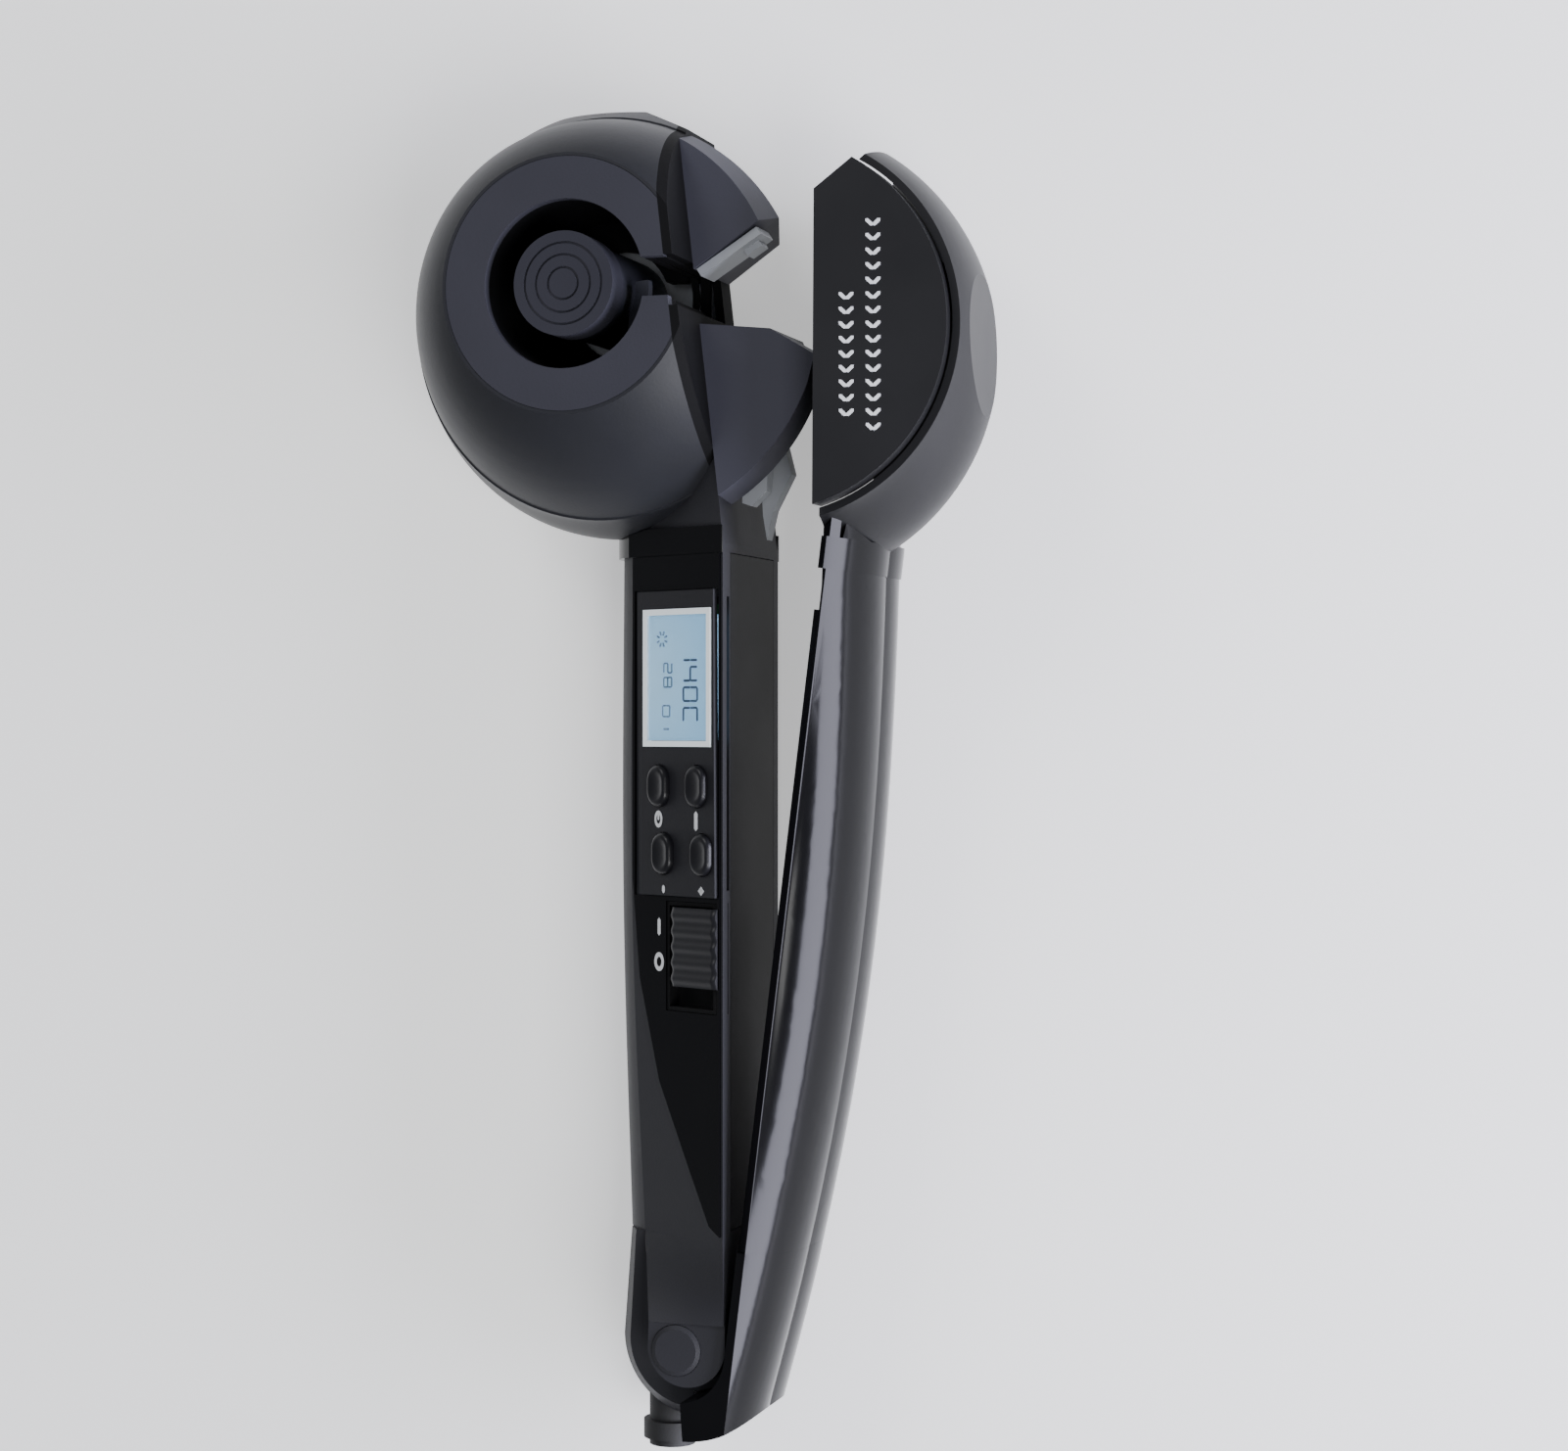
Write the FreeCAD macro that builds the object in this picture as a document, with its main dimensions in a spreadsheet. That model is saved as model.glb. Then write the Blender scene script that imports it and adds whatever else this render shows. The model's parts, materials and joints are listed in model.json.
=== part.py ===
import FreeCAD, Part
import math
import os
import Sketcher

# Automatic hair curler, lying on its back, front face up.  Millimetres.
#
# Every piece is drawn in the hinge frame: origin on the hinge axis at the depth of the widest
# girth, X to the right, Y towards the heads, Z towards the front face.  Pieces of the lid arm are
# drawn as if the curler were closed.  A node's Placement then carries it to the row frame, where
# the origin is the middle of the footprint and the lid stands open by open_angle.

doc = FreeCAD.newDocument("hair_curler")
sheet = doc.addObject("Spreadsheet::Sheet", "Dims")


class Size:
    """A number together with the sheet expression that drives it."""

    def __init__(self, value, text):
        self.value = value
        self.text = text

    def join(self, other, sign, value):
        return Size(value, f"({self.text} {sign} {size(other).text})")

    def __add__(self, other):
        return self.join(other, "+", self.value + size(other).value)

    def __sub__(self, other):
        return self.join(other, "-", self.value - size(other).value)

    def __mul__(self, other):
        return self.join(other, "*", self.value * size(other).value)

    def __truediv__(self, other):
        return self.join(other, "/", self.value / size(other).value)

    def __neg__(self):
        return Size(-self.value, f"(0 - {self.text})")

    def __radd__(self, other):
        return size(other) + self

    def __rsub__(self, other):
        return size(other) - self

    def __rmul__(self, other):
        return size(other) * self


def size(number):
    """Any plain number as a Size."""
    if isinstance(number, Size):
        return number
    return Size(float(number), repr(round(float(number), 6)))


class Dims:
    """The driving dimensions: each one is a cell of the sheet with an alias."""

    def __init__(self):
        self.row = 0

    def add(self, **cells):
        for alias, number in cells.items():
            self.row += 1
            sheet.set(f"A{self.row}", alias)
            sheet.set(f"B{self.row}", str(number))
            sheet.setAlias(f"B{self.row}", alias)
            setattr(self, alias, Size(float(number), f"Dims.{alias}"))


d = Dims()

# ---------------------------------------------------------------- driving dimensions

# Frame: hinge axis to row origin, and the angle by which the lid stands open.
d.add(shift_x=-0.4, shift_y=-125, shift_z=27, open_angle=7)

# Arms: both mate on one upright plane, and their ends wrap round the hinge.
d.add(foot_z=-27, arm_back_z=-24, ridge_z=17, neck_y=176, mate_x=11.2, mate_gap=0.3, shell_wall=1.8,
      tail_y=24, tail_r=18, eye_low_z=-11, eye_high_z=2, eye_r=9.5)

# Heads: the main head's girth and dome, the split plane, and the lid head in its closed place.
d.add(head_x=-18.4, head_y=228.2, head_r=48.8, seam_z=12, seam_r=44.8, foot_r=31, dome_x=-20.5,
      dome_y=233, ring_z=31, ring_r=27.6, split_x=6.2, split_y=222, split_tilt=6.5, plate_t=2,
      flat_left_x=-63.3, flat_top_y=274.1, slant_z=-8.6, slant=20)
d.add(lid_x=-9, lid_y=219.3, lid_r=50.1, lid_flat_x=66.2)
d.add(panel_x=-4.8, panel_y=224.2, panel_r=42.3, panel_z=24.5,
      panel_seam_z=19, panel_slope=6, lid_gap=0.8)

# Curl chamber.
d.add(chamber_r=18.4, liner_wall=1.6, barrel_r=10.5, cap_r=11.4, slot_y=233.75, slot_half=4.25,
      slot_low_z=-2, chassis_z=-10, chassis_wall=1.5, chassis_r=37, guide_front_z=17, guide_back_z=-8)

# Rotor drive: a C-shaped ring gear, two idlers that bridge its gap, and the motor pinion.
d.add(tooth_module=0.95, ring_teeth=48, idler_teeth=12, pinion_teeth=10, idler_angle=19.93,
      gear_low_z=-8, gear_wall=4.5, axle_r=1.5, running_gap=0.05, motor_r=10, motor_len=12)

# Controls on the tilted front face of the main arm.
d.add(face_tilt=30, panel_low_y=99.5, panel_high_y=167, button_lift=1.5, key_low_y=108.8,
      key_high_y=123.8, knob_low_y=79.5, knob_high_y=97, knob_travel=4)

# Hinge and cord gland.
d.add(pin_r=3, cap_disc_r=5.6, cap_seat_z=12, gland_x=-9, gland_z=-8, gland_r=5.2,
      gland_bore_r=3.1)
doc.recompute()


# ---------------------------------------------------------------- drawing helpers


def bind(obj, **sizes):
    """Set properties of an object and tie them to the sheet."""
    for prop, number in sizes.items():
        number = size(number)
        setattr(obj, prop, number.value)
        obj.setExpression(prop, number.text)
    return obj


def move(obj, x, y, z, axis=None, angle=0):
    """Place an object: a point, and a turn about one axis."""
    x, y, z, angle = size(x), size(y), size(z), size(angle)
    turn = FreeCAD.Rotation(axis or FreeCAD.Vector(0, 0, 1), angle.value)
    obj.Placement = FreeCAD.Placement(FreeCAD.Vector(x.value, y.value, z.value), turn)
    obj.setExpression("Placement.Base.x", x.text)
    obj.setExpression("Placement.Base.y", y.text)
    obj.setExpression("Placement.Base.z", z.text)
    if axis is not None:
        obj.setExpression("Placement.Rotation.Angle", angle.text)
    return obj


AXIS_X = FreeCAD.Vector(1, 0, 0)
AXIS_Y = FreeCAD.Vector(0, 1, 0)
AXIS_Z = FreeCAD.Vector(0, 0, 1)


def box(x, y, z):
    """A box from three (low, high) pairs."""
    (x0, x1), (y0, y1), (z0, z1) = [(size(low), size(high)) for low, high in (x, y, z)]
    obj = bind(doc.addObject("Part::Box", "box"), Length=x1 - x0, Width=y1 - y0, Height=z1 - z0)
    return move(obj, x0, y0, z0)


def cylinder(x, y, z, radius):
    """An upright cylinder: centre x, y, and a (low, high) pair."""
    low, high = size(z[0]), size(z[1])
    obj = bind(doc.addObject("Part::Cylinder", "cylinder"), Radius=radius, Height=high - low)
    return move(obj, x, y, low)


def rod(x, y, z, radius, length, axis, angle):
    """A cylinder that starts at a point and is turned about one axis."""
    obj = bind(doc.addObject("Part::Cylinder", "rod"), Radius=radius, Height=length)
    return move(obj, x, y, z, axis, angle)


def cut(base, *tools):
    for tool in tools:
        obj = doc.addObject("Part::Cut", "cut")
        obj.Base, obj.Tool = base, tool
        base = obj
    return base


def fuse(*shapes):
    obj = doc.addObject("Part::MultiFuse", "fuse")
    obj.Shapes = list(shapes)
    return obj


def common(*shapes):
    obj = doc.addObject("Part::MultiCommon", "common")
    obj.Shapes = list(shapes)
    return obj


def outline(points, z=0, axis=None, angle=0, x=0, y=0):
    """A closed sketch.  A point is (x, y), or (x, y, radius) where an arc leads on to the next
    point: a positive radius turns left, a negative one right."""
    sketch = doc.addObject("Sketcher::SketchObject", "outline")
    points = [tuple(size(number) for number in point) for point in points]
    spots = [FreeCAD.Vector(point[0].value, point[1].value, 0) for point in points]
    starts, ends = [], []
    for index, point in enumerate(points):
        here, there = spots[index], spots[(index + 1) % len(points)]
        if len(point) == 2:
            edge = sketch.addGeometry(Part.LineSegment(here, there))
            starts.append((edge, 1))
            ends.append((edge, 2))
            continue
        radius = point[2].value
        half = (there - here).Length / 2
        left = FreeCAD.Vector(here.y - there.y, there.x - here.x, 0).normalize()
        reach = math.sqrt(radius ** 2 - half ** 2) * (1 if radius > 0 else -1)
        centre = (here + there) / 2 + left * reach
        circle = Part.Circle(centre, AXIS_Z, abs(radius))
        first, last = (here, there) if radius > 0 else (there, here)
        edge = sketch.addGeometry(Part.ArcOfCircle(circle, circle.parameter(first),
                                                   circle.parameter(last)))
        bend = point[2] if radius > 0 else -point[2]
        lock = sketch.addConstraint(Sketcher.Constraint("Radius", edge, bend.value))
        sketch.setExpression(f"Constraints[{lock}]", bend.text)
        starts.append((edge, 1 if radius > 0 else 2))
        ends.append((edge, 2 if radius > 0 else 1))
    for index, point in enumerate(points):
        sketch.addConstraint(Sketcher.Constraint("Coincident", *ends[index - 1], *starts[index]))
        for kind, number in (("DistanceX", point[0]), ("DistanceY", point[1])):
            lock = sketch.addConstraint(Sketcher.Constraint(kind, *starts[index], number.value))
            sketch.setExpression(f"Constraints[{lock}]", number.text)
    return move(sketch, x, y, z, axis, angle)


def slab(points, z0, z1):
    """An outline in the X-Y plane, raised from z0 to z1."""
    return prism(outline(points, z0), AXIS_Z, size(z1) - z0)


def prism(sketch, direction, length):
    obj = doc.addObject("Part::Extrusion", "slab")
    obj.Base, obj.DirMode, obj.Dir, obj.Solid = sketch, "Custom", direction, True
    return bind(obj, LengthFwd=length)


def loft(sections, ruled=False):
    obj = doc.addObject("Part::Loft", "loft")
    obj.Sections, obj.Solid, obj.Ruled = sections, True, ruled
    return obj


def round_loft(rings, ruled=False):
    """A solid through level circles, each (x, y, z, radius)."""
    circles = []
    for x, y, z, radius in rings:
        circle = bind(doc.addObject("Part::Circle", "circle"), Radius=radius)
        circles.append(move(circle, x, y, z))
    return loft(circles, ruled)


def sine(angle):
    return Size(math.sin(math.radians(angle.value)), f"sin({angle.text})")


def cosine(angle):
    return Size(math.cos(math.radians(angle.value)), f"cos({angle.text})")


nodes = []


def node(name, obj, lid=False):
    """Label a finished piece and carry it to the row frame, with the lid arm swung open."""
    obj.Label = name
    move(obj, d.shift_x, d.shift_y, d.shift_z, AXIS_Z, -d.open_angle if lid else 0)
    nodes.append(obj)
    return obj


# ---------------------------------------------------------------- shared shapes


def split_at(y):
    """X of the split plane of the heads at a height y."""
    slope = sine(d.split_tilt) / cosine(d.split_tilt)
    return d.split_x - (size(y) - d.split_y) * slope


def beyond_split(offset, thickness=120):
    """A block on the right of the split plane, from offset to offset + thickness."""
    block = bind(doc.addObject("Part::Box", "beyond"), Length=thickness, Width=240, Height=120)
    tilt_sine, tilt_cosine = sine(d.split_tilt), cosine(d.split_tilt)
    x = d.split_x + tilt_sine * 120 + tilt_cosine * offset
    y = d.split_y - tilt_cosine * 120 + tilt_sine * offset
    return move(block, x, y, -60, AXIS_Z, d.split_tilt)


def behind_slant(offset):
    """A block on the right of the slanted rear of the mouth side, below slant_z."""
    block = bind(doc.addObject("Part::Box", "behind"), Length=80, Width=240, Height=60)
    move(block, size(offset) - sine(d.slant) * 60, -120, d.slant_z - cosine(d.slant) * 60, AXIS_Y, d.slant)
    carrier = doc.addObject("Part::Compound", "slant")
    carrier.Links = [block]
    return move(carrier, d.split_x, d.split_y, 0, AXIS_Z, d.split_tilt)


def rear_rings(x, y, radius, inset, floor):
    """The rounded rear of either head, from its flat foot to just behind the widest girth."""
    return [(x, y, d.foot_z + floor, d.foot_r - inset),
            (x, y, d.foot_z + 3 + floor / 3, radius - 12 - inset),
            (x, y, d.foot_z + 10, radius - 5.2 - inset),
            (x, y, -4, radius - inset)]


def main_back(inset=0, floor=0, lift=0):
    """The rear half of the main head: flat foot, widest girth, front seam."""
    full = round_loft(rear_rings(d.head_x, d.head_y, d.head_r, inset, floor)
                      + [(d.head_x, d.head_y, 6, d.head_r - 1.7 - inset),
                         (d.head_x, d.head_y - 0.6, d.seam_z + lift, d.seam_r - inset)])
    left, top = d.flat_left_x + inset, d.flat_top_y - inset
    return common(full, slab([(left, 150), (60, 150), (60, top - 32.7), (-10, top), (left, top)], -40, 40))


def main_dome(inset=0, lift=0):
    """The front half of the main head, from the seam up to the flat ring."""
    return round_loft([
        (d.head_x, d.head_y - 0.6, d.seam_z - lift, d.seam_r - 0.4 - inset),
        (d.head_x - 1.6, d.head_y + 2, d.seam_z + 10, d.seam_r - 6 - inset),
        (d.dome_x, d.dome_y, d.ring_z + lift - inset * 0.6, d.ring_r + 0.8 - inset)])


def lid_shape(inset=0, floor=0, lift=0):
    """The lid head below its front panel."""
    full = round_loft(rear_rings(d.lid_x, d.lid_y, d.lid_r, inset, floor)
                      + [(d.lid_x + 2, d.lid_y + 2.4, 8, d.lid_r - 2 - inset),
                         (d.panel_x, d.panel_y, d.panel_seam_z + lift, d.panel_r - inset)])
    turn_cosine, turn_sine, reach = cosine(d.open_angle), sine(d.open_angle), d.lid_flat_x - inset
    flat = bind(doc.addObject("Part::Box", "flat"), Length=30, Width=160, Height=80)
    x, y = reach * turn_cosine - 140 * turn_sine, reach * turn_sine + 140 * turn_cosine
    return cut(full, move(flat, x, y, -40, AXIS_Z, d.open_angle))


def lid_corner():
    """The block that bevels the upper corner of the lid head beside the mouth."""
    corner = split_at(254) + d.lid_gap
    return slab([(corner, 254), (corner + 15.5, 270.5), (20, 290), (-60, 290), (-60, 254)], -60, 60)


def arm_section(y, side_x, inset=0):
    """Main arm: inner face, tilted control face, round outer side, flat back."""
    right = d.mate_x - inset
    slope = sine(d.face_tilt) / cosine(d.face_tilt)
    corner_x = side_x + 6
    corner_z = d.ridge_z - (d.mate_x - corner_x) * slope
    back = d.arm_back_z + inset
    points = [(right, -back), (side_x + 6 + inset, -back, 17.5 - inset),
              (corner_x + inset * 0.6, -corner_z + inset * 1.1),
              (right, -d.ridge_z + inset * 1.4)]
    return outline(points, axis=AXIS_X, angle=-90, y=y)


def lid_section(y, side_x, inset=0, spread=0):
    """Lid arm: inner face, narrow bevel, domed front, round side, flat back."""
    left = d.mate_x + d.mate_gap + inset - spread
    back = d.arm_back_z + inset
    points = [(left, -back), (left, -d.ridge_z + 1.5 + inset),
              (left + spread + 2, -d.ridge_z + inset, 24 - inset), (side_x - inset, 4, 24 - inset),
              (side_x - 4 - inset, -back)]
    return outline(points, axis=AXIS_X, angle=-90, y=y)


# ---------------------------------------------------------------- main head


def hair_slot(grow, z0, z1, x1=12):
    """The block of space that lets hair pass from the mouth to the chamber."""
    half = d.slot_half + grow
    return box((d.dome_x + 8, x1), (d.slot_y - half, d.slot_y + half), (z0, z1))


def head_shells():
    wall = d.shell_wall
    dome = cut(main_dome(), main_dome(inset=wall, lift=0.6), beyond_split(-d.plate_t),
               cylinder(d.dome_x, d.dome_y, (d.ring_z - 3, d.ring_z + 2), d.ring_r + 0.1),
               hair_slot(1.3, d.seam_z + 1, d.ring_z + 2))
    node("head_front_shell", dome)
    back = cut(main_back(), main_back(inset=wall, floor=2.2, lift=0.2), beyond_split(-d.plate_t),
               behind_slant(-d.plate_t),
               box((d.mate_x - 25, d.mate_x - 8), (170, 190), (-16, 2)))
    posts = [cut(cylinder(x, y, (d.foot_z + 1, d.chassis_z - 0.3), 3.4),
                 cylinder(x, y, (d.foot_z - 1, d.chassis_z), 1.35),
                 cylinder(x, y, (d.foot_z - 1, d.foot_z + 3), 2.9)) for x, y in SCREW_SPOTS]
    holes = [cylinder(x, y, (d.foot_z - 1, d.foot_z + 3), 2.9) for x, y in SCREW_SPOTS]
    node("head_back_shell", fuse(cut(back, *holes), *posts))


# Screw places of the main head, clear of the motor.
SCREW_SPOTS = [(d.head_x - 24, d.head_y + 2), (d.head_x - 14, d.head_y + 21),
               (d.head_x + 12, d.head_y - 8), (d.head_x + 7, d.head_y + 22)]


def head_screws():
    screws = [fuse(cylinder(x, y, (d.foot_z + 0.6, d.foot_z + 2.9), 2.6),
                   cylinder(x, y, (d.foot_z + 2.8, d.foot_z + 16), 1.3)) for x, y in SCREW_SPOTS]
    node("head_screws", fuse(*screws))


def mouth_plate():
    full = fuse(main_back(), main_dome())
    wall = cut(fuse(beyond_split(-d.plate_t), behind_slant(-d.plate_t)), beyond_split(0), behind_slant(0))
    plate = cut(common(full, wall),
                box((-10, 30), (d.slot_y - 6.4, d.slot_y + 4.6), (d.slot_low_z, d.ring_z + 3)),
                cylinder(d.dome_x, d.dome_y, (d.gear_low_z - 0.6, d.gear_low_z + d.gear_wall + 0.6),
                         GUIDE_R + 0.1))
    node("mouth_plate", plate)


def chamber():
    low = d.gear_low_z + d.gear_wall + 0.9
    liner = cut(cylinder(d.dome_x, d.dome_y, (low, d.ring_z - 2.5), d.chamber_r + d.liner_wall),
                cylinder(d.dome_x, d.dome_y, (low - 1, d.ring_z), d.chamber_r),
                hair_slot(0, d.slot_low_z, d.ring_z))
    node("chamber_liner", liner)
    ring = cut(cylinder(d.dome_x, d.dome_y, (d.ring_z - 2.5, d.ring_z), d.ring_r),
               cylinder(d.dome_x, d.dome_y, (d.ring_z - 3, d.ring_z + 1), d.chamber_r),
               hair_slot(0, d.ring_z - 4, d.ring_z + 1), beyond_split(-d.plate_t))
    node("front_ring", ring)
    x0 = d.dome_x + d.chamber_r + d.liner_wall + 0.2
    x1 = split_at(d.slot_y + d.slot_half + 1.2) - d.plate_t - 0.3
    half = d.slot_half + 1.2
    channel = cut(box((x0, x1), (d.slot_y - half, d.slot_y + half), (d.slot_low_z - 1.2, d.ring_z - 4)),
                  hair_slot(0, d.slot_low_z, d.ring_z))
    node("throat_channel", channel)


def upper_outline(z, top, tip_x, tip_y, bend, root=237):
    return outline([(split_at(top), top), (split_at(root), root), (tip_x, tip_y, bend)], z=z)


def lower_outline(z, low, right, bend, root=225):
    return outline([(split_at(root), root), (split_at(low), low, bend), (right, 211.5),
                    (right + 1.5, 217.5), (22, 223.4)], z=z)


def upper_guide():
    return loft([upper_outline(d.guide_back_z, 262, 16.5, 245.5, 39),
                 upper_outline(8, 268, 21.3, 248.8, 46),
                 upper_outline(d.guide_front_z, 265.8, 19.3, 246.9, 43)], ruled=True)


def lower_guide():
    return loft([lower_outline(d.guide_back_z, 192, 23, 41), lower_outline(8, 186, 31, 48),
                 lower_outline(d.guide_front_z, 187.5, 30.5, 47)], ruled=True)


def mouth_guides():
    """Two blunt wedges that lead a lock of hair into the mouth.  Both narrow towards the rear."""
    node("upper_guide", upper_guide())
    node("lower_guide", lower_guide())


def throat_trim():
    """A pale wear strip under the upper guide and two pale comb fins below the lower guide."""
    strip = fuse(box((0, 16.2), (-1.9, 0), (7, d.guide_front_z - 1)),
                 box((10.5, 14.5), (-3.2, -1.8), (8, 13)))
    strip = move(strip, split_at(237) + 0.4, 237.1, 0, AXIS_Z, 32.4)
    node("throat_strip", cut(common(strip, mouth_space()), upper_guide()))
    inner = [(12, 193), (12.2, 186.4), (14.3, 185.7), (17.8, 189), (18.4, 197)]
    outer = [(15, 192), (15.4, 184), (16.4, 178.5), (18, 185), (22.4, 193), (20.8, 199)]
    for name, points, z in (("guide_fin_inner", inner, (2, 6)), ("guide_fin_outer", outer, (-3, 1))):
        node(name, cut(common(slab(points, *z), mouth_space()), lower_guide()))


def mouth_space():
    """Everything on the open side of the mouth plate."""
    return beyond_split(0.02, 60)


# ---------------------------------------------------------------- curl chamber and rotor drive


def barrel():
    post = cut(cylinder(d.dome_x, d.dome_y, (d.chassis_z + d.chassis_wall, d.ring_z - 7), d.barrel_r),
               cylinder(d.dome_x, d.dome_y, (-20, d.ring_z - 8.5), d.barrel_r - 1.6))
    node("heated_barrel", post)
    cap = cylinder(d.dome_x, d.dome_y, (d.ring_z - 7, d.ring_z + 0.4), d.cap_r)
    for radius in (3.2, 6, 8.6):
        groove = cut(cylinder(d.dome_x, d.dome_y, (d.ring_z, d.ring_z + 1), radius + 0.5),
                     cylinder(d.dome_x, d.dome_y, (d.ring_z - 1, d.ring_z + 2), radius))
        cap = cut(cap, groove)
    node("barrel_cap", cap)
    low = d.chassis_z + d.chassis_wall
    x, y = d.dome_x, d.dome_y
    heater = fuse(box((x - 6, x + 6), (y - 3.5, y - 1.2), (low, 18)),
                  box((x - 6, x + 6), (y + 1.2, y + 3.5), (low, 18)),
                  box((x - 5, x + 5), (y - 1.2, y + 1.2), (low + 2, 16)))
    node("heater", heater)
    node("thermal_fuse", fuse(cylinder(x, y + 6, (low + 3, low + 13), 1.6),
                              cylinder(x, y + 6, (low, low + 3.1), 0.5),
                              cylinder(x, y + 6, (low + 12.9, low + 17), 0.5)))


def chassis():
    x, y = d.dome_x, d.dome_y
    low, high = d.chassis_z, d.chassis_z + d.chassis_wall
    plate = cut(cylinder(x, y, (low, high), d.chassis_r), beyond_split(-d.plate_t - 0.3),
                behind_slant(-d.plate_t - 0.4),
                cylinder(x, PINION_Y, (low - 1, high + 1), 3.4),
                cylinder(x - 7.4, PINION_Y, (low - 1, high + 1), 1),
                cylinder(x + 7.4, PINION_Y, (low - 1, high + 1), 1),
                cylinder(x, y, (low - 1, high + 1), 5),
                box((x - 40, x - 26), (y - 34, y - 24), (low - 1, high + 1)))
    feet = [cylinder(fx, fy, (d.foot_z + 2.25, low), 2.6) for fx, fy in
            ((x - 20, y - 16), (x - 3, y + 20), (x + 12, y + 3))]
    node("chassis_plate", fuse(plate, *feet))
    top = d.gear_low_z + d.gear_wall
    gaps = [box((x, x + 40), (y - 7, y + 7), (low, 20)), box((x - 20, x + 20), (y - 40, y - 13), (low, 20)),
            beyond_split(-d.plate_t - 0.3)]
    wall = cut(cylinder(x, y, (high, top + 0.85), 27), cylinder(x, y, (high - 1, top + 0.25), GUIDE_R),
               cylinder(x, y, (top, top + 1), 20.6), *gaps)
    node("rotor_guide", wall)


# The ring runs inside the guide's rim, a little clear of its teeth.
GUIDE_R = d.tooth_module * (d.ring_teeth / 2 + 0.8) + 0.4

# Gear train: the ring's axis, then idlers at +- idler_angle below it, then the pinion.
RING_IDLER = d.tooth_module * (d.ring_teeth + d.idler_teeth) / 2
IDLER_PINION = d.tooth_module * (d.idler_teeth + d.pinion_teeth) / 2
IDLER_SIDE = RING_IDLER * sine(d.idler_angle)
IDLER_DROP = RING_IDLER * cosine(d.idler_angle)
PINION_DROP = IDLER_DROP + size(math.sqrt(IDLER_PINION.value ** 2 - IDLER_SIDE.value ** 2))
PINION_Y = d.dome_y - PINION_DROP
IDLER_SPOTS = [(d.dome_x + IDLER_SIDE * side, d.dome_y - IDLER_DROP) for side in (-1, 1)]


def involute(angle):
    return math.tan(angle) - angle


def gear_wheel(teeth, x, y, turn, backlash=0.16):
    """A spur gear with involute flanks.  One tooth points along turn (degrees)."""
    teeth, module = int(teeth.value), d.tooth_module.value
    pressure = math.radians(20)
    pitch, base = teeth * module / 2, teeth * module / 2 * math.cos(pressure)
    tip, root = pitch + 0.8 * module, pitch - 1.15 * module
    half_tooth = math.pi / (2 * teeth) - backlash / (2 * pitch)
    flank = []
    for step in range(5):
        radius = max(base, root) + (tip - max(base, root)) * step / 4
        lean = half_tooth + involute(pressure) - involute(math.acos(min(1, base / radius)))
        flank.append((radius, lean))
    if root < base:
        flank.insert(0, (root, flank[0][1]))
    spots = []
    for tooth in range(teeth):
        middle = math.radians(turn) + 2 * math.pi * tooth / teeth
        side = [(radius, middle - lean) for radius, lean in flank]
        side += [(radius, middle + lean) for radius, lean in reversed(flank)]
        spots += [FreeCAD.Vector(x.value + r * math.cos(a), y.value + r * math.sin(a), 0)
                  for r, a in side]
    low, wall = d.gear_low_z.value, d.gear_wall.value
    face = Part.Face(Part.makePolygon(spots + spots[:1]))
    face.translate(FreeCAD.Vector(0, 0, low))
    obj = doc.addObject("Part::Feature", "gear_blank")
    obj.Shape = face.extrude(FreeCAD.Vector(0, 0, wall))
    return obj


def mesh_turn(turn, teeth, direction, partner_teeth):
    """Direction of one tooth of a partner gear that meshes with a gear in a given direction."""
    ahead = (direction - turn) * teeth / 360 % 1
    return direction + 180 - (0.5 - ahead) % 1 * 360 / partner_teeth


def rotor():
    x, y = d.dome_x, d.dome_y
    low, high = d.gear_low_z, d.gear_low_z + d.gear_wall
    ring = cut(gear_wheel(d.ring_teeth, x, y, 0), cylinder(x, y, (low - 1, high + 1), d.cap_r + 1),
               box((x + 5, x + 30), (y - 4.6, y + 4.6), (low - 1, high + 1)))
    node("rotor_gear", ring)
    level = d.ring_z - 10.6
    arm = common(slab([(x + 11, y - 9.6), (x + 16, y - 12), (x + 16, y - 4.9), (x + 12, y - 4.7)],
                      low, level),
                 cut(cylinder(x, y, (low, level), 15.8), cylinder(x, y, (low - 1, level + 1), 12.8)))
    claw = common(slab([(x + 11, y - 9.6), (x + 16, y - 12), (x + 16, y + 1.6), (x + 12, y + 1.2)],
                       level - 2.6, level),
                  cut(cylinder(x, y, (low, level), 15.8), cylinder(x, y, (low - 1, level + 1), 12.8)))
    hook = fuse(arm, claw)
    node("rotor_hook", cut(hook, cylinder(x, y, (low - 1, high), 20)))


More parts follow.
